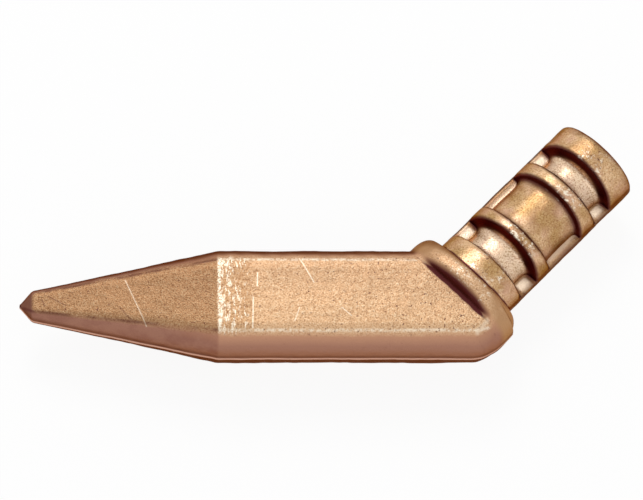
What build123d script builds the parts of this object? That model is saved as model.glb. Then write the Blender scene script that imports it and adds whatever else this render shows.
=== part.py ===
from build123d import *
from math import atan2, cos, degrees, radians, sin, tan
import os

# A drop-forged soldering copper, lying on its side as it left the dies.
# Two pieces: the pointed head with its collar, and the ribbed heating shank
# that is pressed into the collar's socket.
# +Z is up, square to the parting plane of the dies. +X runs along the bar from
# the point to the heel, and the shank leaves the heel towards +X and +Y.
# The origin is under the middle of the object's box, on the surface it lies on.
# "Hub" is the place where the bar's axis and the shank's axis cross.

# Forging
draft = 6.0                 # lean of the walls that the dies leave, degrees

# Head: the bar
bar_height = 23.3           # Y, over the ridges of the parting line
bar_depth = 17.0            # Z, between the two flat side faces
bar_wall_depth = 12.1       # Z, between the outer edges of the chamfers
side_face_height = 15.9     # Y, the flat of a side face
bar_length = 50.6           # shoulder to hub
heel_round = 10.4           # radius of the heel, seen from the side

# Head: the taper and the point
taper_length = 40.2         # shoulder to the foot of the point
tip_height = 6.3            # the bar's four section sizes, at the foot of the point
tip_depth = 5.8
tip_wall_depth = 3.8
tip_face_height = 3.9
point_length = 2.7          # foot of the point to its blunted end
point_blunt = 0.08          # share of the foot's section left at the blunted end

# Head: the collar round the shank
shank_angle = 45.0          # degrees, shank's axis to the bar's
collar_half_width = 14.2    # across the shank, in the parting plane
collar_half_depth = 11.7    # across the shank, along Z
collar_round = 11.0         # rounding of the collar's section, which is a rounded oblong
collar_top = 9.1            # hub to the collar's end face, in the parting plane
collar_top_lean = 13.0      # lean of that end face and of the collar's sides, degrees
collar_foot = 0.9           # how far below the hub its lower wall starts, in the parting plane
collar_foot_lean = 16.0     # lean of the lower wall, degrees
collar_corner = 4.5         # rounding of the collar's corners in the parting plane
collar_crest_round = 1.2    # rounding over the collar's crest
bar_run_in = 5.6            # how far past the hub the bar runs inside the collar

# Shank
shank_radius = 10.3
shank_seat = 2.6            # hub to the shank's shoulder, in the collar's socket
shank_end = 49.8            # hub to the free end, in the parting plane
end_round = 1.5             # rounding of the free end's rim
spigot_radius = 6.1
spigot_length = 8.2         # below the shank's shoulder
spigot_lead = 0.6           # chamfer on the spigot's end
web_half_thickness = 1.1    # web along the parting plane, which closes the pockets
web_half_width = 10.1       # to the web's edges, where the flash was trimmed off flat
# Each pocket: start and end in the parting plane, from the hub, then the half
# width and the half depth of the core that is left inside it.
pockets = (
    (13.1, 17.8, 7.1, 5.4),
    (22.6, 32.3, 8.4, 7.5),
    (37.7, 41.9, 7.1, 5.4),
)

# Fit
socket_clearance = 0.02     # radial, between the shank and its socket
socket_relief = 0.5         # room under the spigot

# Where the hub stands in the object's box
angle = radians(shank_angle)
point_reach = bar_length + taper_length + point_length
round_centre = shank_end - end_round
round_half_width = shank_radius - end_round
shank_reach_x = round_centre * cos(angle) + round_half_width * sin(angle) + end_round
shank_reach_y = round_centre * sin(angle) + round_half_width * cos(angle) + end_round
hub = Vector(
    (point_reach - shank_reach_x) / 2,
    (bar_height / 2 - shank_reach_y) / 2,
    collar_half_depth,
)

# Planes through the hub
along_shank = Vector(cos(angle), sin(angle), 0)
across_shank = Vector(-sin(angle), cos(angle), 0)
parting = Plane(origin=hub, x_dir=(1, 0, 0), z_dir=(0, 0, 1))
shank_parting = Plane(origin=hub, x_dir=along_shank, z_dir=(0, 0, 1))
shank_upright = Plane(origin=hub, x_dir=along_shank, z_dir=-across_shank)


def bar_section_plane(distance):
    """Plane square to the bar, this far from the hub towards the point."""
    return Plane(origin=hub - Vector(distance, 0, 0), x_dir=(0, 1, 0), z_dir=(1, 0, 0))


def shank_section_plane(distance):
    """Plane square to the shank, this far from the hub towards its free end."""
    return Plane(origin=hub + along_shank * distance, x_dir=across_shank, z_dir=along_shank)


def bar_outline(height, wall_depth, face_height, depth):
    """Ten corners of a section through the bar: ridge, drafted walls, chamfers, side faces."""
    wall_top = height / 2 - wall_depth / 2 * tan(radians(draft))
    upper = [
        (height / 2, 0),
        (wall_top, wall_depth / 2),
        (face_height / 2, depth / 2),
        (-face_height / 2, depth / 2),
        (-wall_top, wall_depth / 2),
    ]
    return upper + [(-y, -z) for y, z in upper]


# Pointed end of the head: the taper, then the short point
with BuildPart() as taper:
    with BuildSketch(bar_section_plane(bar_length)):
        Polygon(*bar_outline(bar_height, bar_wall_depth, side_face_height, bar_depth))
    with BuildSketch(bar_section_plane(bar_length + taper_length)):
        Polygon(*bar_outline(tip_height, tip_wall_depth, tip_face_height, tip_depth))
    loft(ruled=True)

with BuildPart() as point:
    with BuildSketch(bar_section_plane(bar_length + taper_length)):
        Polygon(*bar_outline(tip_height, tip_wall_depth, tip_face_height, tip_depth))
    with BuildSketch(bar_section_plane(point_reach)):
        Polygon(*bar_outline(tip_height, tip_wall_depth, tip_face_height, tip_depth))
        scale(by=point_blunt)
    loft(ruled=True)

# The bar: its outline in the parting plane, raised to both dies with draft and chamfer
chamfer_rise = (bar_depth - bar_wall_depth) / 2
wall_edge_height = bar_height / 2 - bar_wall_depth / 2 * tan(radians(draft))
chamfer_lean = degrees(atan2(wall_edge_height - side_face_height / 2, chamfer_rise))
bar_start = -bar_length - bar_depth
top_run_in = (bar_run_in - bar_height / 2 * sin(angle)) / cos(angle)
heel_run_in = shank_parting.from_local_coords(Vector(bar_run_in, -collar_half_width, 0)) - hub
heel_corner_x = (collar_half_width - bar_height / 2 * cos(angle)) / sin(angle)

with BuildPart() as bar:
    with BuildSketch(parting) as bar_plan:
        with BuildLine():
            Polyline(
                (bar_start, -bar_height / 2),
                (heel_corner_x, -bar_height / 2),
                (heel_run_in.X, heel_run_in.Y),
                (top_run_in, bar_height / 2),
                (bar_start, bar_height / 2),
                close=True,
            )
        make_face()
        heel = bar_plan.vertices().group_by(Axis.Y)[0].sort_by(Axis.X)[-1]
        fillet(heel, radius=heel_round)
    extrude(amount=bar_wall_depth / 2, taper=draft)
    extrude(bar.faces().sort_by(Axis.Z)[-1], amount=chamfer_rise, taper=chamfer_lean)
    mirror(about=parting)
    # The heel's back is as round as the collar above it
    with BuildSketch(shank_section_plane(bar_start)):
        RectangleRounded(2 * collar_half_width, 2 * collar_half_depth, collar_round)
        Rectangle(2 * bar_length, 2 * bar_depth, align=(Align.MIN, Align.CENTER))
    extrude(amount=2 * bar_length, mode=Mode.INTERSECT)
    split(bisect_by=bar_section_plane(bar_length), keep=Keep.TOP)

# The collar: an oblong ring round the shank. Its outline in the parting plane runs on
# into the heel's; from there its end face and its sides lean in towards both crests.
crest_rise = collar_half_depth * tan(radians(collar_foot_lean)) - collar_foot
heel_corner = shank_parting.to_local_coords(hub + Vector(heel_corner_x, -bar_height / 2, 0))
with BuildPart() as collar:
    with BuildSketch(shank_parting) as collar_plan:
        with BuildLine():
            Polyline(
                (heel_corner.X - 2 * collar_half_width / tan(angle), collar_half_width),
                (heel_corner.X, -collar_half_width),
                (collar_top, -collar_half_width),
                (collar_top, collar_half_width),
                close=True,
            )
        make_face()
        heel = collar_plan.vertices().sort_by_distance(heel_corner)[0]
        fillet(heel, radius=heel_round)
        fillet(collar_plan.vertices().group_by(Axis.X)[-1], radius=collar_corner)
    extrude(amount=collar_half_depth, taper=collar_top_lean)
    mirror(about=parting)
    with BuildSketch(shank_section_plane(-collar_foot)):
        RectangleRounded(2 * collar_half_width, 2 * collar_half_depth, collar_round)
    extrude(amount=2 * collar_top, mode=Mode.INTERSECT)
    with BuildSketch(shank_upright) as collar_profile:
        with BuildLine():
            Polyline(
                (-collar_foot, 0),
                (crest_rise, collar_half_depth),
                (2 * collar_top, collar_half_depth),
                (2 * collar_top, -collar_half_depth),
                (crest_rise, -collar_half_depth),
                close=True,
            )
        make_face()
        fillet(collar_profile.vertices().group_by(Axis.X)[1], radius=collar_crest_round)
    extrude(amount=collar_half_width, both=True, mode=Mode.INTERSECT)

with BuildPart() as copper_head:
    add(taper.part)
    add(point.part)
    add(bar.part)
    add(collar.part)
    # Stepped blind socket for the shank and its spigot
    with BuildSketch(shank_section_plane(shank_seat)):
        Circle(shank_radius + socket_clearance)
    extrude(amount=collar_top, mode=Mode.SUBTRACT)
    with BuildSketch(shank_section_plane(shank_seat)):
        Circle(spigot_radius + socket_clearance)
    extrude(amount=-(spigot_length + socket_relief), mode=Mode.SUBTRACT)

# The pockets of one die, then of both: a drafted slot round a core that is left standing
pocket_mouth = shank_radius + web_half_thickness
with BuildPart() as pocket_cuts:
    for start, end, core_half_width, core_half_depth in pockets:
        with BuildSketch(shank_upright):
            with BuildLine():
                Polyline(
                    (start - web_half_thickness * tan(radians(draft)), web_half_thickness),
                    (end + web_half_thickness * tan(radians(draft)), web_half_thickness),
                    (end + pocket_mouth * tan(radians(draft)), pocket_mouth),
                    (start - pocket_mouth * tan(radians(draft)), pocket_mouth),
                    close=True,
                )
            make_face()
        extrude(amount=pocket_mouth, both=True)
        with BuildSketch(shank_section_plane(start - pocket_mouth * tan(radians(draft)))):
            Ellipse(core_half_width, core_half_depth)
        extrude(amount=end - start + 2 * pocket_mouth * tan(radians(draft)), mode=Mode.SUBTRACT)
        trim_middle = (start + end) / 2
        with BuildSketch(shank_parting):
            with Locations((trim_middle, web_half_width), (trim_middle, -web_half_width)):
                Rectangle(end - start, 2 * (shank_radius - web_half_width))
            with Locations((trim_middle, 0)):
                Rectangle(end - start, 2 * web_half_width, mode=Mode.SUBTRACT)
        extrude(amount=web_half_thickness, both=True)
    mirror(about=parting)

# The shank: turned form with its spigot, leaning free end, pockets
spigot_end = shank_seat - spigot_length
end_lean = shank_radius * tan(radians(draft))
with BuildPart() as heating_shank:
    with BuildSketch(shank_parting):
        with BuildLine():
            Polyline(
                (shank_end, 0),
                (spigot_end, 0),
                (spigot_end, spigot_radius - spigot_lead),
                (spigot_end + spigot_lead, spigot_radius),
                (shank_seat, spigot_radius),
                (shank_seat, shank_radius),
                (round_centre, shank_radius),
            )
            RadiusArc((round_centre, shank_radius), (shank_end, round_half_width), end_round)
            Line((shank_end, round_half_width), (shank_end, 0))
        make_face()
    revolve(axis=Axis(hub, along_shank))
    with BuildSketch(shank_upright):
        with BuildLine():
            Polyline(
                (spigot_end, shank_radius),
                (shank_end - end_lean, shank_radius),
                (shank_end, 0),
                (shank_end - end_lean, -shank_radius),
                (spigot_end, -shank_radius),
                close=True,
            )
        make_face()
    extrude(amount=shank_radius, both=True, mode=Mode.INTERSECT)
    add(pocket_cuts.part, mode=Mode.SUBTRACT)

copper_head.part.label = "copper_head"
heating_shank.part.label = "heating_shank"

os.makedirs("parts", exist_ok=True)
export_step(copper_head.part, "parts/copper_head.step")
export_step(heating_shank.part, "parts/heating_shank.step")
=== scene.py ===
import bpy
import numpy as np
from mathutils import Matrix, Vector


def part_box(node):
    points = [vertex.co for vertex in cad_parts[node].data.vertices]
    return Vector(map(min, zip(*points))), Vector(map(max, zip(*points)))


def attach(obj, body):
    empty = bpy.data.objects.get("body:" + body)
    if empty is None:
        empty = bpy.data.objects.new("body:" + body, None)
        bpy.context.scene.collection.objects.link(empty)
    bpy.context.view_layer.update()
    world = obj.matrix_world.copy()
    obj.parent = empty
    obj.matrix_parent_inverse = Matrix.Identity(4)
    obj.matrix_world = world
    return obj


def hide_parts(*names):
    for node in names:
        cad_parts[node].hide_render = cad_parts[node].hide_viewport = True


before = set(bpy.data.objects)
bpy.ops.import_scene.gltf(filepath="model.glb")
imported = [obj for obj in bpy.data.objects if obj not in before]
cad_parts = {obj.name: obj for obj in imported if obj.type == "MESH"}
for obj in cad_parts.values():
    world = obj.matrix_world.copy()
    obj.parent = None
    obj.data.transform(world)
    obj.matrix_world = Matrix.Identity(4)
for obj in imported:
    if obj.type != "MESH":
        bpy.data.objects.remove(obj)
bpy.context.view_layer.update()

# Copper head: one drop forging with a pyramid point, a chamfered bar, a rounded heel and
# an oval collar. The dies met on its mid-plane, so every wall leans in from there. Sizes
# are in millimetres from the hub, the place where the bar's and the shank's axes cross.
METRES = 0.001
tip_x = -93.5
point_foot_x = -90.8
shoulder_x = -50.6
half_height = 11.65
half_thickness = 11.7
heel_round = 10.4
bar_run_in = 5.6

# Half sizes of the bar's section: at the blunt tip, the foot of the point, the shoulder
# and beyond the heel
section_x = [tip_x, point_foot_x, shoulder_x, -shoulder_x]
ridge_half = [0.30, 3.35, 11.90, 11.90]
wall_half = [0.28, 3.20, 11.50, 11.50]
wall_rise = [0.18, 1.90, 5.80, 5.80]
face_half = [0.19, 2.05, 8.20, 8.20]
face_rise = [0.27, 2.90, 8.50, 8.50]

# The collar, measured along and across the shank
collar_half_width = 14.5
heel_half_width = 14.7
collar_top = 9.1
collar_foot = 0.9
collar_top_lean = np.radians(13.0)
collar_foot_lean = np.radians(16.0)
oval_power = 2.2
crest_height = 11.62
bore_radius = 10.44
bore_foot = 2.6
spigot_bore_radius = 6.12
spigot_bore_foot = -6.1

head_low, head_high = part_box("copper_head")
hub = np.array([
    head_low.x / METRES - tip_x,
    head_low.y / METRES + half_height,
    head_high.z / METRES / 2,
])
half_turn = np.sqrt(0.5)


def smooth_max(a, b, rounding):
    """max(a, b) + (rounding - |a - b|)^2 / (4 rounding) where a and b differ by less than that."""
    overlap = np.maximum(rounding - np.abs(a - b), 0)
    return np.maximum(a, b) + overlap**2 / (4 * rounding)


def waves(x, y, z, wavelength, seed):
    """Sum of twelve plane sine waves in random directions, about one high: a forging's unevenness."""
    random = np.random.default_rng(seed)
    total = 0
    for wave in range(12):
        direction = random.normal(size=3)
        direction *= 2 * np.pi * random.uniform(0.7, 1.4) / (wavelength * np.linalg.norm(direction))
        phase = random.uniform(0, 2 * np.pi)
        total = total + np.sin(x * direction[0] + y * direction[1] + z * direction[2] + phase)
    return total / np.sqrt(12)


def along_bar(x, sizes):
    """Straight lines between the four sections, averaged over the worn width of the edges across the bar."""
    edge_wear = 0.35
    return sum(np.interp(x + shift, section_x, sizes) for shift in (-edge_wear, 0, edge_wear)) / 3


def heel_distance(x, y):
    """Plan distance outside the lower edge y = -half_height and the back w = -heel_half_width,
    whose corner is an arc of radius heel_round."""
    below = -y - half_height + heel_round
    behind = (x - y) * half_turn - heel_half_width + heel_round
    share_below = (below - behind * half_turn) * 2
    share_behind = (behind - below * half_turn) * 2
    in_corner = (share_below > 0) & (share_behind > 0)
    arc = np.sqrt(np.maximum(share_below * below + share_behind * behind, 0))
    return np.where(in_corner, arc, np.maximum(below, behind)) - heel_round


def oval_distance(across, z, half_width):
    """Distance along the ray outside the oval |w/half_width|^n + |z/crest_height|^n = 1."""
    ray = np.hypot(across, z)
    level = (np.abs(across / half_width)**oval_power + np.abs(z / crest_height)**oval_power)**(1 / oval_power)
    return ray - ray / np.maximum(level, 0.01)


def bar_field(x, y, z):
    """Largest of the distances outside wall, chamfer and side face, each a line between two corners
    of the section, then cut by the heel's oval back."""
    along = (x + y) * half_turn
    across = (y - x) * half_turn
    height = np.abs(z)
    reach = np.maximum(y, heel_distance(x, y) + half_height)
    ridge = along_bar(x, ridge_half)
    wall = along_bar(x, wall_half)
    wall_z = along_bar(x, wall_rise)
    face = along_bar(x, face_half)
    face_z = along_bar(x, face_rise)
    scale = np.clip(ridge / 8, 0.1, 1)
    flash = 0.18 * np.exp(-(z / 0.4)**2) * scale
    outside_wall = ((reach - ridge) * wall_z + height * (ridge - wall)) / np.hypot(wall_z, ridge - wall) - flash
    outside_chamfer = (reach - wall) * (face_z - wall_z) + (height - wall_z) * (wall - face)
    outside_chamfer = outside_chamfer / np.hypot(face_z - wall_z, wall - face)
    body = smooth_max(outside_wall, outside_chamfer, 2.2 * scale)
    body = smooth_max(body, height - face_z, 1.3 * scale)
    back = np.where(across < 0, oval_distance(across, z, heel_half_width), height - half_thickness)
    body = smooth_max(body, back, 1.6)
    return np.maximum(body, along - bar_run_in)


def collar_field(x, y, z):
    """Oval ring cut by a foot wall and an end face that both lean over the ring's crest."""
    along = (x + y) * half_turn
    across = (y - x) * half_turn
    height = np.abs(z)
    oval = oval_distance(across, z, collar_half_width)
    foot = (height * np.tan(collar_foot_lean) - collar_foot - along) * np.cos(collar_foot_lean)
    end = (height * np.tan(collar_top_lean) + along - collar_top) * np.cos(collar_top_lean)
    side_share = np.clip(np.abs(across) / collar_half_width, 0, 1)**2
    end_round = 1.8 + side_share * np.where(across < 0, 5.4, 2.6)
    ring = smooth_max(smooth_max(oval, foot, 1.8), end, end_round)
    return smooth_max(ring, heel_distance(x, y), 0.6)


def head_field(x, y, z):
    """The bar and the collar, joined with a small fillet, less than zero inside the metal."""
    fillet = 0.7
    joined = -smooth_max(-bar_field(x, y, z), -collar_field(x, y, z), fillet)
    soft = 0.05 * waves(x, y, z, 9.0, 3) + 0.02 * waves(x, y, z, 2.6, 4)
    return joined + soft * np.clip((x - tip_x) / 20, 0.1, 1)


def eased(rows):
    """Fractions from 0 to 1, closer together at both ends."""
    even = np.linspace(0, 1, rows)
    return 0.5 * even + 0.5 * (0.5 - 0.5 * np.cos(np.pi * even))


# Sections that the surface is cast in: square to the bar, then a fan about a pivot beside
# the bend, then square to the shank with their crowns leaning back over the bar
fan_x = -17.0
fan_along = -2.5
pivot = np.array([fan_x, fan_along / half_turn - fan_x])
bar_rows = np.concatenate([
    tip_x + 0.02 + (point_foot_x - tip_x) * eased(14)[:-1],
    point_foot_x + (shoulder_x - 0.8 - point_foot_x) * eased(92)[:-1],
    np.linspace(shoulder_x - 0.8, shoulder_x + 0.8, 9)[:-1],
    np.linspace(shoulder_x + 0.8, fan_x, 72),
])
fan_rows = np.linspace(0, np.pi / 4, 62)[1:]
end_zone = 7.4
collar_rows = np.linspace(fan_along, end_zone, 70)[1:]

turn = np.concatenate([0 * bar_rows, fan_rows, 0 * collar_rows + np.pi / 4])
inward = np.stack([-np.sin(turn), np.cos(turn)], -1)
onward = np.stack([np.cos(turn), np.sin(turn)], -1)
lean = collar_top_lean * np.clip(turn / (np.pi / 4), 0, 1)**1.5

near = np.zeros(len(fan_rows)) + half_height
far = near + 60
for halving in range(40):
    middle = (near + far) / 2
    place = pivot - inward[len(bar_rows):len(bar_rows) + len(fan_rows)] * middle[:, None]
    inside = heel_distance(place[:, 0], place[:, 1]) < 0
    near = np.where(inside, middle, near)
    far = np.where(inside, far, middle)
fan_near = (pivot[1] - half_height) / np.cos(fan_rows)
fan_middle = (near + fan_near) / 2
inner_edge = np.maximum(np.sqrt(2) * half_height - collar_rows, collar_half_width)
collar_middle = (inner_edge - collar_half_width) / 2
axis = np.concatenate([
    np.stack([bar_rows, 0 * bar_rows], -1),
    pivot - inward[len(bar_rows):len(bar_rows) + len(fan_rows)] * fan_middle[:, None],
    half_turn * np.stack([collar_rows - collar_middle, collar_rows + collar_middle], -1),
])
half_span = np.concatenate([
    along_bar(bar_rows, ridge_half),
    (near - fan_near) / 2,
    (inner_edge + collar_half_width) / 2,
])

# Directions round each section: columns crowd towards the ridge and the section's corners
corner_wall = np.arctan2(along_bar(axis[:, 0], wall_rise), half_span - 0.64)
corner_face = np.arctan2(along_bar(axis[:, 0], face_rise), half_span * 0.685)
quarter = np.concatenate([
    np.linspace(0, 1, 15)[:-1]**1.5,
    1 + eased(19)[:-1],
    2 + 0.7 * eased(35) + 0.3 * np.linspace(0, 1, 35),
])
wall_part = np.clip(quarter, 0, 1)
chamfer_part = np.clip(quarter - 1, 0, 1)
face_part = np.clip(quarter - 2, 0, 1)
quadrant = (
    corner_wall[:, None] * wall_part
    + (corner_face - corner_wall)[:, None] * chamfer_part
    + (np.pi / 2 - corner_face)[:, None] * face_part
)
upper = np.concatenate([quadrant[:, :-1], np.pi - quadrant[:, ::-1]], 1)
angles = np.concatenate([upper[:, :-1], 2 * np.pi - upper[:, :0:-1]], 1)


def section_points(radius, rows, shift=0.0):
    """Point at a radius and the grid's own angle in a section: axis + r (cos inward + sin up),
    moved back along the axis by |z| tan(lean) and onward by the shift."""
    sideways = radius * np.cos(angles[rows])
    z = radius * np.sin(angles[rows])
    back = shift - np.abs(z) * np.tan(lean[rows])[:, None]
    x = axis[rows, 0][:, None] + inward[rows, 0][:, None] * sideways + onward[rows, 0][:, None] * back
    y = axis[rows, 1][:, None] + inward[rows, 1][:, None] * sideways + onward[rows, 1][:, None] * back
    return x, y, z


every_row = np.arange(len(turn))
near = np.zeros(angles.shape)
far = near + 28.0
for halving in range(30):
    middle = (near + far) / 2
    inside = head_field(*section_points(middle, every_row)) < 0
    near = np.where(inside, middle, near)
    far = np.where(inside, far, middle)
head_rows = [np.stack(section_points(near, every_row), -1)]

# The collar's end: its rounding and end face, cast along the shank at falling radii, then the
# bore that the shank sits in and the smaller bore for its spigot
last_row = np.full(26, len(turn) - 1)
mouth_radius = bore_radius + 0.2
fall = np.linspace(0, 1, 27)[1:, None]
end_radius = near[-1] + (mouth_radius - near[-1]) * fall
low = np.full(end_radius.shape, -0.8)
high = low + 3.2
for halving in range(30):
    middle = (low + high) / 2
    inside = head_field(*section_points(end_radius, last_row, middle)) < 0
    low = np.where(inside, middle, low)
    high = np.where(inside, high, middle)
head_rows.append(np.stack(section_points(end_radius, last_row, low), -1))


def shank_ring(distance, radius, around):
    """Circle round the shank's axis at a distance from the hub."""
    sideways = radius * np.cos(around)
    x = half_turn * (distance - sideways)
    y = half_turn * (distance + sideways)
    return np.stack(np.broadcast_arrays(x, y, radius * np.sin(around)), -1)


around = angles[-1]
mouth = head_rows[-1][-1]
mouth_along = (mouth[:, 0] + mouth[:, 1]) * half_turn
bore = [(mouth_along - 0.25, bore_radius)]
bore += [(distance, bore_radius) for distance in (5.0, bore_foot)]
bore += [(bore_foot, spigot_bore_radius), (-1.5, spigot_bore_radius), (spigot_bore_foot, spigot_bore_radius)]
head_rows.append(np.stack([shank_ring(distance, radius, around) for distance, radius in bore]))
head_grid = np.concatenate(head_rows)


def closed_surface(name, grid, first, last):
    """Quads between the rows of a grid that closes on itself round each row, and a fan of
    triangles to a pole at each end, put into a mesh in metres."""
    rows, columns = grid.shape[:2]
    vertices = np.concatenate([grid.reshape(-1, 3), [first, last]]) + hub
    step = np.arange(columns)
    following = (step + 1) % columns
    base = np.arange(rows - 1)[:, None] * columns
    quads = np.stack([base + step, base + columns + step, base + columns + following, base + following], -1)
    first_fan = np.stack([0 * step + rows * columns, step, following], -1)
    last_fan = np.stack([0 * step + rows * columns + 1, (rows - 1) * columns + following, (rows - 1) * columns + step], -1)
    mesh = bpy.data.meshes.new(name)
    faces = quads.reshape(-1, 4).tolist() + first_fan.tolist() + last_fan.tolist()
    mesh.from_pydata((vertices * METRES).tolist(), [], faces)
    mesh.shade_smooth()
    piece = bpy.data.objects.new(name, mesh)
    bpy.context.scene.collection.objects.link(piece)
    return piece


def mark(piece, name, values):
    """Stores one number per vertex, which the material reads by name."""
    attribute = piece.data.attributes.new(name, "FLOAT", "POINT")
    attribute.data.foreach_set("value", np.ascontiguousarray(values, np.float32))


head = closed_surface("copper_head_surface", head_grid, [tip_x - 0.05, 0, 0], [spigot_bore_foot * half_turn] * 2 + [0])

# What the colours follow, painted shade and highlights among them: which way the metal faces, and
# how convex or hollow it is there, from the field's values a little way off in six directions
surface = np.concatenate([head_grid.reshape(-1, 3), [[tip_x, 0, 0], [0, 0, 0]]])
probe = 0.7
slopes = []
bend = 0
for direction in np.eye(3) * probe:
    ahead = head_field(*(surface + direction).T)
    behind = head_field(*(surface - direction).T)
    slopes.append((ahead - behind) / (2 * probe))
    bend = bend + (ahead + behind - 2 * head_field(*surface.T)) / probe**2
slopes = np.stack(slopes, -1)
slopes = slopes / np.maximum(np.linalg.norm(slopes, axis=1), 1e-6)[:, None]
along_at = (surface[:, 0] + surface[:, 1]) * half_turn
across_at = (surface[:, 1] - surface[:, 0]) * half_turn
towards_point = -(slopes[:, 0] + slopes[:, 1]) * half_turn
from_shank = np.hypot(across_at, surface[:, 2])
mark(head, "facing", np.abs(slopes[:, 2]))
mark(head, "upward", np.clip(3.6 * slopes[:, 1] - 1.9, 0, 1) * (1 - 0.5 * np.clip((along_at - 1.5) / 1.5, 0, 1)))
mark(head, "taper", np.clip((shoulder_x - surface[:, 0]) / 0.5 + 0.5, 0, 1))
mark(head, "point", np.clip((point_foot_x - surface[:, 0]) / 0.3 + 0.5, 0, 1))
mark(head, "foot_wall", np.clip((towards_point - 0.35) / 0.45, 0, 1) * (along_at > -3))
mark(head, "seam", np.exp(-((from_shank - bore_radius) / 0.6)**2) * (along_at > 5))
mark(head, "collar", np.clip((along_at - 1.5) / 1.5, 0, 1))
# Band along the collar's crest for bright specks: partly wear, partly painted highlight
mark(head, "wear_and_glint", np.exp(-((across_at + 1.5) / 4.5)**2) * (along_at > 1.5))
reach_at = np.maximum(surface[:, 1], heel_distance(surface[:, 0], surface[:, 1]) + half_height)
from_edge = reach_at - along_bar(surface[:, 0], face_half)
beside_face = (np.abs(surface[:, 2]) > along_bar(surface[:, 0], wall_rise)) & (along_at < 0.5)
mark(head, "edge", np.exp(-((from_edge + 0.1) / 0.35)**2) * beside_face)
mark(head, "hollow", np.clip(-bend * 0.8, 0, 1))


def add_node(material, kind, inputs, **settings):
    """Adds a node, sets its properties, and sets or links its inputs by name or number."""
    node = material.node_tree.nodes.new(kind)
    for name, value in settings.items():
        setattr(node, name, value)
    for name, value in inputs.items():
        if isinstance(value, bpy.types.NodeSocket):
            material.node_tree.links.new(value, node.inputs[name])
        else:
            node.inputs[name].default_value = value
    return node


def stored(material, name):
    """The number that mark() stored under this name."""
    return add_node(material, "ShaderNodeAttribute", {}, attribute_name=name).outputs["Fac"]


def spread(material, value, low, high, start=0.0, end=1.0):
    """Maps low..high to start..end and stops there."""
    limits = {"Value": value, "From Min": low, "From Max": high, "To Min": start, "To Max": end}
    return add_node(material, "ShaderNodeMapRange", limits).outputs[0]


def combine(material, operation, a, b):
    """One arithmetic step."""
    return add_node(material, "ShaderNodeMath", {0: a, 1: b}, operation=operation).outputs[0]


def blend_colour(material, share, below, above, blend="MIX"):
    """Colour above over colour below by the share."""
    inputs = {0: share, 6: below, 7: above}
    node = add_node(material, "ShaderNodeMix", inputs, data_type="RGBA", blend_type=blend, clamp_factor=True)
    return node.outputs[2]


def noise(material, size, detail=2.0, roughness=0.5):
    """Cloudy noise whose lumps are about size millimetres wide."""
    place = add_node(material, "ShaderNodeTexCoord", {}).outputs["Object"]
    inputs = {"Vector": place, "Scale": 1 / (size * METRES), "Detail": detail, "Roughness": roughness}
    return add_node(material, "ShaderNodeTexNoise", inputs).outputs[0]


def place_from_hub(material, stretch=(1, 1, 1)):
    """Place on the piece in millimetres from the hub, shrunk along each axis by the stretch."""
    place = add_node(material, "ShaderNodeTexCoord", {}).outputs["Object"]
    scale = [1 / (METRES * factor) for factor in stretch]
    offset = [-middle / factor for middle, factor in zip(hub, stretch)]
    inputs = {"Vector": place, "Location": offset, "Scale": scale}
    return add_node(material, "ShaderNodeMapping", inputs).outputs[0]


def scratch(material, begin, end, width):
    """One along a straight line on the upper side face, falling to nothing a width away from it."""
    line = np.array(end) - np.array(begin)
    length = np.linalg.norm(line)
    toward = (line[0] / length, line[1] / length, 0)
    flat = add_node(material, "ShaderNodeVectorMath", {0: place_from_hub(material), 1: (1, 1, 0)}, operation="MULTIPLY")
    start = (begin[0], begin[1], 0)
    offset = add_node(material, "ShaderNodeVectorMath", {0: flat.outputs[0], 1: start}, operation="SUBTRACT")
    run = add_node(material, "ShaderNodeVectorMath", {0: offset.outputs[0], 1: toward}, operation="DOT_PRODUCT")
    run = spread(material, run.outputs["Value"], 0, length, 0, length)
    nearest = add_node(material, "ShaderNodeVectorMath", {0: toward, "Scale": run}, operation="SCALE")
    gap = add_node(material, "ShaderNodeVectorMath", {0: offset.outputs[0], 1: nearest.outputs[0]}, operation="DISTANCE")
    return spread(material, gap.outputs["Value"], 0, width, 1, 0)


edge_tint = (0.60, 0.38, 0.27, 1)


def copper(name, roughness):
    """A metal material with its shader, still without its colour."""
    material = bpy.data.materials.new(name)
    material.use_nodes = True
    material.node_tree.nodes.clear()
    shader = add_node(material, "ShaderNodeBsdfPrincipled", {"Metallic": 1.0, "Roughness": roughness, "Specular Tint": edge_tint})
    add_node(material, "ShaderNodeOutputMaterial", {"Surface": shader.outputs[0]})
    return material, shader


tan_dark = (0.40, 0.21, 0.10, 1)
tan = (0.78, 0.50, 0.28, 1)
tan_light = (0.93, 0.74, 0.49, 1)
face_tint = (0.80, 0.76, 0.77, 1)
taper_face_tint = (0.60, 0.53, 0.47, 1)
taper_flank_tint = (0.80, 0.73, 0.75, 1)
shoulder_tint = (0.85, 0.80, 0.74, 1)
rose_light = (0.56, 0.30, 0.175, 1)
rose_brown = (0.38, 0.19, 0.13, 1)
gold_brown = (0.49, 0.28, 0.145, 1)
pink = (0.66, 0.38, 0.28, 1)
dark_brown = (0.11, 0.040, 0.028, 1)
maroon = (0.095, 0.022, 0.022, 1)
painted_highlight_cream = (1.0, 0.80, 0.60, 1)
wear_and_highlight_bright = (1.0, 0.88, 0.70, 1)

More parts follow.
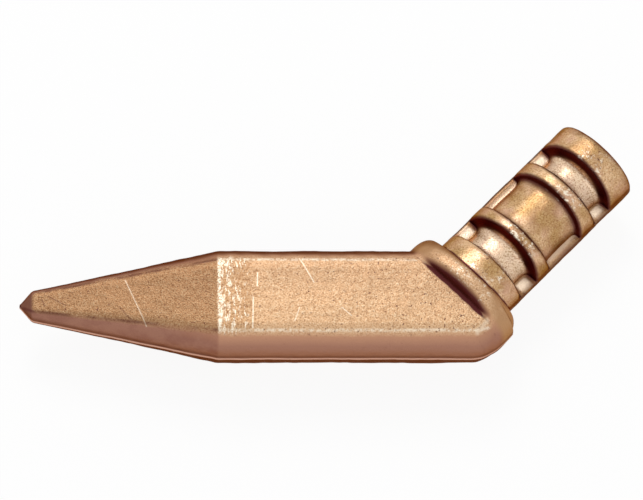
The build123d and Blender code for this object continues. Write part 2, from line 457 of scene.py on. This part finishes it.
head_copper, head_shader = copper("forged_head_copper", 0.42)
facing = stored(head_copper, "facing")
grain = noise(head_copper, 0.34, 2.0, 0.65)
cloud = noise(head_copper, 5.0, 3.0, 0.55)
face_colour = blend_colour(head_copper, spread(head_copper, grain, 0.30, 0.50), tan_dark, tan)
face_colour = blend_colour(head_copper, spread(head_copper, grain, 0.52, 0.72), face_colour, tan_light)
face_colour = blend_colour(head_copper, spread(head_copper, cloud, 0.45, 0.75, 0, 0.4), face_colour, tan)
on_flank = spread(head_copper, facing, 0.95, 0.80)
side_x, side_y, side_z = add_node(head_copper, "ShaderNodeSeparateXYZ", {0: place_from_hub(head_copper)}).outputs
# Painted shade: the flanks darken from the upper face's edge (z 8.6) down to the wall (z 5.6) and stay dark below
flank_colour = blend_colour(head_copper, spread(head_copper, side_z, 8.6, 5.6), rose_light, rose_brown)
flank_colour = blend_colour(head_copper, stored(head_copper, "collar"), flank_colour, gold_brown)
on_taper = stored(head_copper, "taper")
# Painted shade: the side face is darkened, more towards the bar's upper edge (+y)
face_shade = spread(head_copper, side_y, -8, 8, 0.5, 1.0)
face_colour = blend_colour(head_copper, face_shade, face_colour, face_tint, "MULTIPLY")
# Painted shade: the taper's face and flanks are darkened
face_colour = blend_colour(head_copper, on_taper, face_colour, taper_face_tint, "MULTIPLY")
flank_colour = blend_colour(head_copper, on_taper, flank_colour, taper_flank_tint, "MULTIPLY")
flank_cloud = noise(head_copper, 4.0, 3.0, 0.6)
flank_patches = combine(head_copper, "MULTIPLY", on_taper, spread(head_copper, flank_cloud, 0.44, 0.62, 0, 0.6))
flank_colour = blend_colour(head_copper, flank_patches, flank_colour, rose_brown)
colour = blend_colour(head_copper, on_flank, face_colour, flank_colour)
# Painted highlight, partly wear: a broken bright line along the face's convex edges on the bar, not on the taper
edge = spread(head_copper, stored(head_copper, "edge"), 0.1, 0.9)
worn_edge_highlight = combine(head_copper, "MULTIPLY", edge, spread(head_copper, on_taper, 1, 0, 0, 0.65))
worn_edge_highlight = combine(head_copper, "MULTIPLY", worn_edge_highlight, spread(head_copper, noise(head_copper, 0.9, 3.0, 0.7), 0.42, 0.58, 0.1, 1.0))
colour = blend_colour(head_copper, worn_edge_highlight, colour, wear_and_highlight_bright)
# Painted shade: surfaces facing the bar's upper side (+y) are darkened
colour = blend_colour(head_copper, stored(head_copper, "upward"), colour, dark_brown)
colour = blend_colour(head_copper, spread(head_copper, stored(head_copper, "point"), 0, 1, 0, 0.5), colour, dark_brown)

# The walls' parting line is a pale ridge between darker strips, which are painted shadow, and the
# wall below the ridge is darkened with painted shade
from_parting = combine(head_copper, "ABSOLUTE", side_z, 0)
on_wall = spread(head_copper, facing, 0.75, 0.55)
strip = combine(head_copper, "MULTIPLY", on_wall, spread(head_copper, from_parting, 2.2, 1.2, 0, 0.5))
colour = blend_colour(head_copper, strip, colour, dark_brown)
under = combine(head_copper, "MULTIPLY", on_wall, spread(head_copper, side_z, -0.3, -1.6, 0, 0.9))
colour = blend_colour(head_copper, under, colour, dark_brown)
ridge_line = combine(head_copper, "MULTIPLY", on_wall, spread(head_copper, from_parting, 0.6, 0.3))
colour = blend_colour(head_copper, ridge_line, colour, pink)

# Wear and painted highlight: bright upright streaks just behind the shoulder and scratches, which are wear,
# and bright specks on the collar's crest, which are partly wear and partly painted highlight
streak_place = place_from_hub(head_copper, (0.55, 2.0, 3.0))
streak_noise = add_node(
    head_copper, "ShaderNodeTexNoise", {"Vector": streak_place, "Scale": 1.0, "Detail": 4.0, "Roughness": 0.7}
)
from_shoulder = combine(head_copper, "SUBTRACT", side_x, shoulder_x)
streak_level = combine(head_copper, "ADD", streak_noise.outputs[0], spread(head_copper, from_shoulder, 7.0, 0.5, -0.06, 0.06))
streak_level = combine(head_copper, "ADD", streak_level, spread(head_copper, from_shoulder, 1.0, 0.2, 0, 0.08))
streaks = spread(head_copper, streak_level, 0.52, 0.60)
streaks = combine(head_copper, "MULTIPLY", streaks, spread(head_copper, from_shoulder, -0.2, 0.2))
streaks = combine(head_copper, "MULTIPLY", streaks, spread(head_copper, grain, 0.38, 0.52, 0.15, 1.0))
streaks = combine(head_copper, "MULTIPLY", streaks, spread(head_copper, from_shoulder, 8.5, 7.0))
streaks = combine(head_copper, "MULTIPLY", streaks, spread(head_copper, facing, 0.85, 0.95))
# Bright specks along the collar's crest: partly wear, partly painted highlight
specks = spread(head_copper, noise(head_copper, 0.9, 5.0, 0.8), 0.54, 0.60, 0, 0.95)
specks = combine(head_copper, "MULTIPLY", specks, spread(head_copper, stored(head_copper, "wear_and_glint"), 0.15, 0.5))
specks = combine(head_copper, "MULTIPLY", specks, spread(head_copper, noise(head_copper, 3.0, 2.0, 0.6), 0.38, 0.50))
near_shoulder = combine(
    head_copper, "MULTIPLY", spread(head_copper, from_shoulder, 9.0, 6.0), spread(head_copper, from_shoulder, -0.2, 0.2)
)
near_shoulder = combine(head_copper, "MULTIPLY", near_shoulder, spread(head_copper, facing, 0.85, 0.95))
colour = blend_colour(head_copper, near_shoulder, colour, shoulder_tint, "MULTIPLY")
bright = combine(head_copper, "MAXIMUM", streaks, specks)
scratches = [
    ((-32.8, 8.3), (-29.8, 2.8), 0.20, 0.8),
    ((-70.6, 4.2), (-66.0, -6.4), 0.20, 0.45),
    ((-42.0, 4.9), (-42.1, 1.9), 0.22, 1.0),
    ((-43.0, -0.7), (-43.2, -7.6), 0.22, 0.9),
    ((-33.0, -3.0), (-34.1, -6.0), 0.18, 0.7),
    ((-23.9, -3.0), (-21.8, -4.9), 0.18, 0.7),
    ((5.4, -8.6), (7.6, -6.0), 0.7, 0.4),
]
for begin, end, width, strength in scratches:
    mark_here = combine(head_copper, "MULTIPLY", scratch(head_copper, begin, end, width), strength)
    bright = combine(head_copper, "MAXIMUM", bright, mark_here)
colour = blend_colour(head_copper, bright, colour, wear_and_highlight_bright)

# Dark places: pits, the collar's foot wall, the hollows and the seam round the shank; on the foot
# wall and in the hollows the dark is painted shade
pit_level = noise(head_copper, 0.7, 2.0, 0.5)
pit_level = combine(head_copper, "SUBTRACT", pit_level, spread(head_copper, side_x, -35, -10, 0, 0.03))
pits = spread(head_copper, pit_level, 0.33, 0.26, 0, 0.8)
pits = combine(head_copper, "MULTIPLY", pits, spread(head_copper, facing, 0.80, 0.95, 0.15, 1.0))
dents = [
    ((-71.8, -2.0), (-69.6, -4.6), 0.25, 0.5),
    ((-69.6, -4.6), (-68.4, -5.4), 0.35, 0.5),
    ((-87.2, 1.2), (-83.4, -1.0), 0.22, 0.6),
    ((-88.6, 0.6), (-88.0, -1.0), 0.22, 0.6),
]
dark = pits
for begin, end, width, strength in dents:
    mark_here = combine(head_copper, "MULTIPLY", scratch(head_copper, begin, end, width), strength)
    dark = combine(head_copper, "MAXIMUM", dark, mark_here)
crease = combine(head_copper, "MULTIPLY", edge, spread(head_copper, on_taper, 0, 1, 0, 0.6))
crease = combine(head_copper, "MULTIPLY", crease, spread(head_copper, noise(head_copper, 6.0, 3.0, 0.6), 0.36, 0.56))
dark = combine(head_copper, "MAXIMUM", dark, crease)
# Painted shade on the collar's foot wall and in the hollows
dark = combine(head_copper, "MAXIMUM", dark, stored(head_copper, "foot_wall"))
dark = combine(head_copper, "MAXIMUM", dark, spread(head_copper, stored(head_copper, "hollow"), 0.15, 0.6))
dark = combine(head_copper, "MAXIMUM", dark, spread(head_copper, stored(head_copper, "seam"), 0.15, 0.6))
colour = blend_colour(head_copper, dark, colour, maroon)
head_copper.node_tree.links.new(colour, head_shader.inputs["Base Color"])
head_bump = add_node(
    head_copper, "ShaderNodeBump", {"Height": grain, "Strength": 0.8, "Distance": 0.12 * METRES}
)
head_copper.node_tree.links.new(head_bump.outputs[0], head_shader.inputs["Normal"])
head.data.materials.append(head_copper)
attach(head, "root")
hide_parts("copper_head")

# Heating shank: a round copper stem forged with the head's alloy. Three shallow pockets on
# either side leave four bands, an oval core and a thin web along the parting plane. Its
# spigot sits in the collar's smaller bore.
band_radius = 10.42
shank_end = 50.1
end_lean = np.radians(6.0)
wall_lean = np.radians(6.0)
web_half = 1.1
web_reach = 10.35
spigot_radius = 6.1
spigot_end = -5.6
pockets = [(13.1, 17.8, 7.1, 6.0), (22.6, 32.3, 8.4, 7.8), (37.7, 41.9, 7.1, 6.0)]

# Angles round the stem, crowded where the web's flats meet the cores
flat_turn = np.arcsin(web_half / band_radius)
core_turn = np.arcsin(web_half / 7.1)
quarter_turns = np.concatenate([
    np.linspace(0, flat_turn, 6)[:-1],
    np.linspace(flat_turn, core_turn + 0.05, 12)[:-1],
    np.linspace(core_turn + 0.05, np.pi / 2, 52),
])
half_round = np.concatenate([quarter_turns[:-1], np.pi - quarter_turns[::-1]])
stem_turn = np.concatenate([half_round[:-1], 2 * np.pi - half_round[:0:-1]])
rise = np.abs(np.sin(stem_turn))
spread_out = np.abs(np.cos(stem_turn))


def stem_profile():
    """Corners of the stem's outline at every angle, as (distance, radius, rounding): spigot,
    seat, then each pocket's two drafted walls z = (start - q) / tan(draft), then the end."""
    zero = 0 * rise
    corners = [
        (spigot_end + zero, 5.5 + zero, 0.2),
        (spigot_end + 0.6 + zero, spigot_radius + zero, 0.2),
        (bore_foot + zero, spigot_radius + zero, 0.2),
        (bore_foot + zero, band_radius + zero, 0.2),
    ]
    for start, end, core_width, core_depth in pockets:
        core = 1 / np.hypot(spread_out / core_width, rise / core_depth)
        web = np.minimum(web_half / np.maximum(rise, 1e-6), web_reach / np.maximum(spread_out, 1e-6))
        floor = smooth_max(core, web, 0.5)
        floor = np.minimum(floor, band_radius - 0.02)
        lean_out = rise * np.tan(wall_lean)
        corners += [
            (start - band_radius * lean_out, band_radius + zero, 1.3),
            (start - floor * lean_out, floor, 2.0),
            (end + floor * lean_out, floor, 2.0),
            (end + band_radius * lean_out, band_radius + zero, 0.9),
        ]
    end_distance = shank_end - band_radius * rise * np.tan(end_lean)
    corners += [
        (end_distance, band_radius + zero, 1.5),
        (shank_end + zero, 0.3 + zero, 0.05),
    ]
    return corners


def rounded_rows(corners, cut_rows, gap=0.45):
    """Rows along the outline: every corner becomes a quadratic curve that starts and ends its
    rounding away (never past 0.45 of a side), and straight runs get a row about every gap."""
    points = np.stack([np.stack([distance, radius], -1) for distance, radius, rounding in corners])
    sides = np.linalg.norm(np.diff(points, axis=0), axis=-1)
    rows = [points[0]]
    share = np.linspace(0, 1, cut_rows)[:, None, None]
    previous = points[0]
    for index in range(1, len(points) - 1):
        rounding = corners[index][2]
        cut_before = np.minimum(rounding, 0.45 * sides[index - 1])[:, None]
        cut_after = np.minimum(rounding, 0.45 * sides[index])[:, None]
        step_back = (points[index - 1] - points[index]) / np.maximum(sides[index - 1], 1e-9)[:, None]
        step_on = (points[index + 1] - points[index]) / np.maximum(sides[index], 1e-9)[:, None]
        begin = points[index] + step_back * cut_before
        finish = points[index] + step_on * cut_after
        run = np.median(np.linalg.norm(begin - previous, axis=-1))
        inner = np.linspace(0, 1, max(int(run / gap), 1) + 1)[1:-1, None, None]
        rows.extend(previous + (begin - previous) * inner)
        rows.extend((1 - share)**2 * begin + 2 * share * (1 - share) * points[index] + share**2 * finish)
        previous = finish
    inner = np.linspace(0, 1, 10)[1:, None, None]
    rows.extend(previous + (points[-1] - previous) * inner)
    return np.stack(rows)


stem_rows = rounded_rows(stem_profile(), 6)
stem_distance = stem_rows[..., 0]
stem_radius = stem_rows[..., 1]
stem_grid = shank_ring(stem_distance, stem_radius, stem_turn)
outward = 0.05 * waves(*np.moveaxis(stem_grid, -1, 0), 7.0, 11) + 0.02 * waves(*np.moveaxis(stem_grid, -1, 0), 2.2, 12)
outward = outward * np.clip((stem_distance - 9.5) / 2, 0, 1) * np.clip((shank_end - stem_distance), 0, 1)
outward = outward + 0.1 * np.exp(-(stem_radius * np.sin(stem_turn) / 0.4)**2) * np.clip((stem_distance - 9.5) / 2, 0, 1) * (stem_radius > 9)
stem_radius = stem_radius + outward
stem_grid = shank_ring(stem_distance, stem_radius, stem_turn)
stem = closed_surface(
    "heating_shank_surface",
    stem_grid,
    [spigot_end * half_turn] * 2 + [0],
    [shank_end * half_turn] * 2 + [0],
)

# What the colours follow, painted shade and highlights among them: how steep the outline is in the
# pockets, the webs' flats, and the seam at the collar
step_along = np.gradient(stem_distance, axis=0)
step_out = np.gradient(stem_radius, axis=0)
steep = np.abs(step_out) / np.maximum(np.hypot(step_along, step_out), 1e-9)
in_pocket = (stem_distance > 12) & (stem_distance < 44)
on_web = (np.abs(stem_radius * np.sin(stem_turn)) < web_half + 0.15) & (stem_radius < band_radius - 0.1)
pad_middle = 8.5
pad = np.exp(-((np.abs(stem_radius * np.cos(stem_turn)) - pad_middle) / 1.0)**8)
long_pad = 0.4 * np.exp(-((stem_distance - 27.5) / 4.6)**8)
pad = pad * (long_pad + sum(np.exp(-((stem_distance - (start + end) / 2) / 1.5)**8) for start, end, *core in pockets[::2]))
beside_parting = np.clip((2.9 - np.abs(stem_radius * np.sin(stem_turn))) / 0.8, 0, 1) * (stem_radius > 9)
seam_distance = np.interp(stem_turn, around, mouth_along, period=2 * np.pi)
beside_seam = np.exp(-((stem_distance - seam_distance) / 0.4)**2)
below_edge = np.clip((stem_radius - band_radius + 3.4) / 0.8, 0, 1)
mark(stem, "steep", np.append(steep * in_pocket * below_edge, [0, 0]))
stem_side = stem_radius * np.cos(stem_turn)
# Band along the shank's crown on its +z side for bright specks and pits: partly wear, partly painted glints
wear_and_glint = np.exp(-((stem_side + 2.0) / 4.0)**2) * (np.sin(stem_turn) > 0) * (stem_radius > 8.5)
rim = np.exp(-((stem_radius - band_radius + 0.5) / 0.45)**2) * (stem_distance > shank_end - 3)
core = np.clip((7.8 - stem_radius) / 0.5, 0, 1) * (1 - on_web) * (stem_distance > 12)
mark(stem, "wear_and_glint", np.append(wear_and_glint, [0, 0]))
mark(stem, "rim", np.append(rim, [0, 0]))
mark(stem, "core", np.append(core, [0, 0]))
mark(stem, "crown", np.append(np.abs(np.sin(stem_turn)) + 0 * stem_radius, [1, 1]))
mark(stem, "web", np.append(on_web * in_pocket * pad, [0, 0]))
mark(stem, "parting", np.append(beside_parting * (1 - on_web), [0, 0]))
mark(stem, "seam", np.append(beside_seam, [0, 0]))

shank_copper, shank_shader = copper("forged_shank_copper", 0.32)
shank_grain = noise(shank_copper, 0.34, 2.0, 0.65)
shank_cloud = noise(shank_copper, 4.0, 3.0, 0.55)
shank_colour = blend_colour(shank_copper, spread(shank_copper, shank_grain, 0.30, 0.50), tan_dark, tan)
shank_colour = blend_colour(shank_copper, spread(shank_copper, shank_grain, 0.52, 0.72), shank_colour, tan_light)
shank_colour = blend_colour(
    shank_copper, spread(shank_copper, shank_cloud, 0.42, 0.68, 0, 0.6), shank_colour, pink
)
shank_broad = noise(shank_copper, 7.0, 2.0, 0.5)
shank_shade = blend_colour(shank_copper, 1.0, shank_colour, (0.68, 0.62, 0.47, 1), "MULTIPLY")
shank_colour = blend_colour(shank_copper, spread(shank_copper, shank_broad, 0.40, 0.60), shank_colour, shank_shade)
# Painted highlight: the pocket floors inside radius 7.8 are lightened
core_share = combine(
    shank_copper, "MULTIPLY", stored(shank_copper, "core"), spread(shank_copper, shank_grain, 0.36, 0.60, 0.1, 1.0)
)
shank_colour = blend_colour(
    shank_copper, spread(shank_copper, core_share, 0, 1, 0, 0.75), shank_colour, painted_highlight_cream
)
# Painted shade: the shank darkens away from its crown towards the parting plane
off_crown = spread(shank_copper, stored(shank_copper, "crown"), 0.75, 0.15)
shank_colour = blend_colour(shank_copper, off_crown, shank_colour, (0.52, 0.43, 0.36, 1), "MULTIPLY")
# Painted shade: the steep walls of the pockets are darkened
shank_colour = blend_colour(
    shank_copper, spread(shank_copper, stored(shank_copper, "steep"), 0.1, 0.6, 0, 0.85), shank_colour, dark_brown
)
# Painted shade: a dark band beside the parting plane on the bands, cores and end, not on the webs
shank_colour = blend_colour(
    shank_copper, spread(shank_copper, stored(shank_copper, "parting"), 0, 1, 0, 0.75), shank_colour, dark_brown
)
# Bright specks in that band: partly wear, partly painted glints
shank_specks = spread(shank_copper, noise(shank_copper, 1.2, 5.0, 0.8), 0.52, 0.58, 0, 0.95)
speck_patches = spread(shank_copper, noise(shank_copper, 4.0, 2.0, 0.6), 0.44, 0.54)
shank_specks = combine(shank_copper, "MULTIPLY", shank_specks, speck_patches)
shank_specks = combine(
    shank_copper, "MULTIPLY", shank_specks, spread(shank_copper, stored(shank_copper, "wear_and_glint"), 0.15, 0.6)
)
# Painted highlight: pale pads on the webs' flats in the pockets
shank_colour = blend_colour(shank_copper, stored(shank_copper, "web"), shank_colour, painted_highlight_cream)
shank_colour = blend_colour(shank_copper, shank_specks, shank_colour, wear_and_highlight_bright)
# Maroon on the steepest pocket walls is painted shade
shank_dark = combine(
    shank_copper,
    "MAXIMUM",
    spread(shank_copper, stored(shank_copper, "steep"), 0.5, 0.95),
    spread(shank_copper, stored(shank_copper, "seam"), 0.2, 0.7),
)
shank_dark = combine(shank_copper, "MAXIMUM", shank_dark, spread(shank_copper, stored(shank_copper, "rim"), 0.2, 0.8, 0, 0.8))
shank_pits = spread(shank_copper, noise(shank_copper, 0.8, 3.0, 0.6), 0.38, 0.32, 0, 0.8)
pit_places = spread(shank_copper, stored(shank_copper, "wear_and_glint"), 0.1, 0.4, 0.15, 1.0)
shank_pits = combine(shank_copper, "MULTIPLY", shank_pits, pit_places)
shank_dark = combine(shank_copper, "MAXIMUM", shank_dark, shank_pits)
shank_colour = blend_colour(shank_copper, shank_dark, shank_colour, maroon)
shank_copper.node_tree.links.new(shank_colour, shank_shader.inputs["Base Color"])
shank_bump = add_node(
    shank_copper, "ShaderNodeBump", {"Height": shank_grain, "Strength": 0.7, "Distance": 0.1 * METRES}
)
shank_copper.node_tree.links.new(shank_bump.outputs[0], shank_shader.inputs["Normal"])
stem.data.materials.append(shank_copper)
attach(stem, "root")
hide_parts("heating_shank")

# Floor: a pale sheet that the copper lies on. The camera and reflections see it white, and
# it keeps a little of the shadow.
floor_half = 1.5
floor_mesh = bpy.data.meshes.new("studio_floor")
floor_corners = [(-floor_half, -floor_half, 0), (floor_half, -floor_half, 0), (floor_half, floor_half, 0)]
floor_corners.append((-floor_half, floor_half, 0))
floor_mesh.from_pydata(floor_corners, [], [(0, 1, 2, 3)])
floor = bpy.data.objects.new("studio_floor", floor_mesh)
bpy.context.scene.collection.objects.link(floor)
floor_paper = bpy.data.materials.new("studio_paper")
floor_paper.use_nodes = True
floor_paper.node_tree.nodes.clear()
seen = add_node(floor_paper, "ShaderNodeLightPath", {})
seen_directly = combine(floor_paper, "MAXIMUM", seen.outputs["Is Camera Ray"], seen.outputs["Is Glossy Ray"])
paper = add_node(floor_paper, "ShaderNodeBsdfDiffuse", {"Color": (0.9, 0.9, 0.9, 1)})
glow = add_node(floor_paper, "ShaderNodeEmission", {"Color": (1, 1, 1, 1), "Strength": 1.06})
glow_share = combine(floor_paper, "MULTIPLY", seen_directly, 0.85)
paper_mix = add_node(floor_paper, "ShaderNodeMixShader", {0: glow_share, 1: paper.outputs[0], 2: glow.outputs[0]})
add_node(floor_paper, "ShaderNodeOutputMaterial", {"Surface": paper_mix.outputs[0]})
floor_mesh.materials.append(floor_paper)

# Light: a grey room with one wide lamp over the camera's right shoulder and a weak one low
# in front of the bar
world = bpy.data.worlds.new("studio_room")
world.use_nodes = True
world_seen = add_node(world, "ShaderNodeLightPath", {})
world_direct = combine(world, "MAXIMUM", world_seen.outputs["Is Camera Ray"], world_seen.outputs["Is Glossy Ray"])
world_strength = spread(world, world_direct, 0, 1, 0.5, 0.9)
room = world.node_tree.nodes["Background"]
room.inputs["Color"].default_value = (1, 1, 1, 1)
world.node_tree.links.new(world_strength, room.inputs["Strength"])
bpy.context.scene.world = world


def lamp(name, place, target, size, power):
    """Square area lamp at a place, turned to face the target, all in metres."""
    light = bpy.data.lights.new(name, "AREA")
    light.size = size
    light.energy = power
    holder = bpy.data.objects.new(name, light)
    bpy.context.scene.collection.objects.link(holder)
    away = np.array(place) - np.array(target)
    away = away / np.linalg.norm(away)
    right = np.cross([0, 1, 0.01], away)
    right = right / np.linalg.norm(right)
    turned = np.eye(4)
    turned[:3, :3] = np.stack([right, np.cross(away, right), away], 1)
    turned[:3, 3] = place
    holder.matrix_world = Matrix(turned)
    return holder


lamp("key_lamp", (-0.12, 0.52, 0.70), (0, 0, 0), 0.35, 1.6)
lamp("low_lamp", (0.0, -0.8, 0.5), (0, 0, 0), 0.5, 0.3)

# Camera: above the side face, tilted towards the bar's lower edge and a little towards the
# point, as in the photograph
camera_tilt = np.radians(20.4)
camera_swing = np.radians(4.2)
camera_roll = np.radians(0.12)
camera_distance = 616.0
aim = hub + np.array([-27.38, 13.36, 0])
view = np.array([
    -np.sin(camera_swing) * np.cos(camera_tilt),
    -np.sin(camera_tilt),
    np.cos(camera_swing) * np.cos(camera_tilt),
])
side = np.array([1, 0, 0]) - view * view[0]
side = side / np.linalg.norm(side)
over = np.cross(view, side)
rolled_side = np.cos(camera_roll) * side + np.sin(camera_roll) * over
rolled_over = np.cross(view, rolled_side)
camera_place = np.eye(4)
camera_place[:3, :3] = np.stack([rolled_side, rolled_over, view], 1)
camera_place[:3, 3] = (aim + view * camera_distance) * METRES
camera_data = bpy.data.cameras.new("photo_camera")
camera_data.lens = 156.2
camera_data.sensor_width = 36.0
camera = bpy.data.objects.new("photo_camera", camera_data)
bpy.context.scene.collection.objects.link(camera)
camera.matrix_world = Matrix(camera_place)
bpy.context.scene.camera = camera
bpy.context.scene.view_settings.view_transform = "Standard"
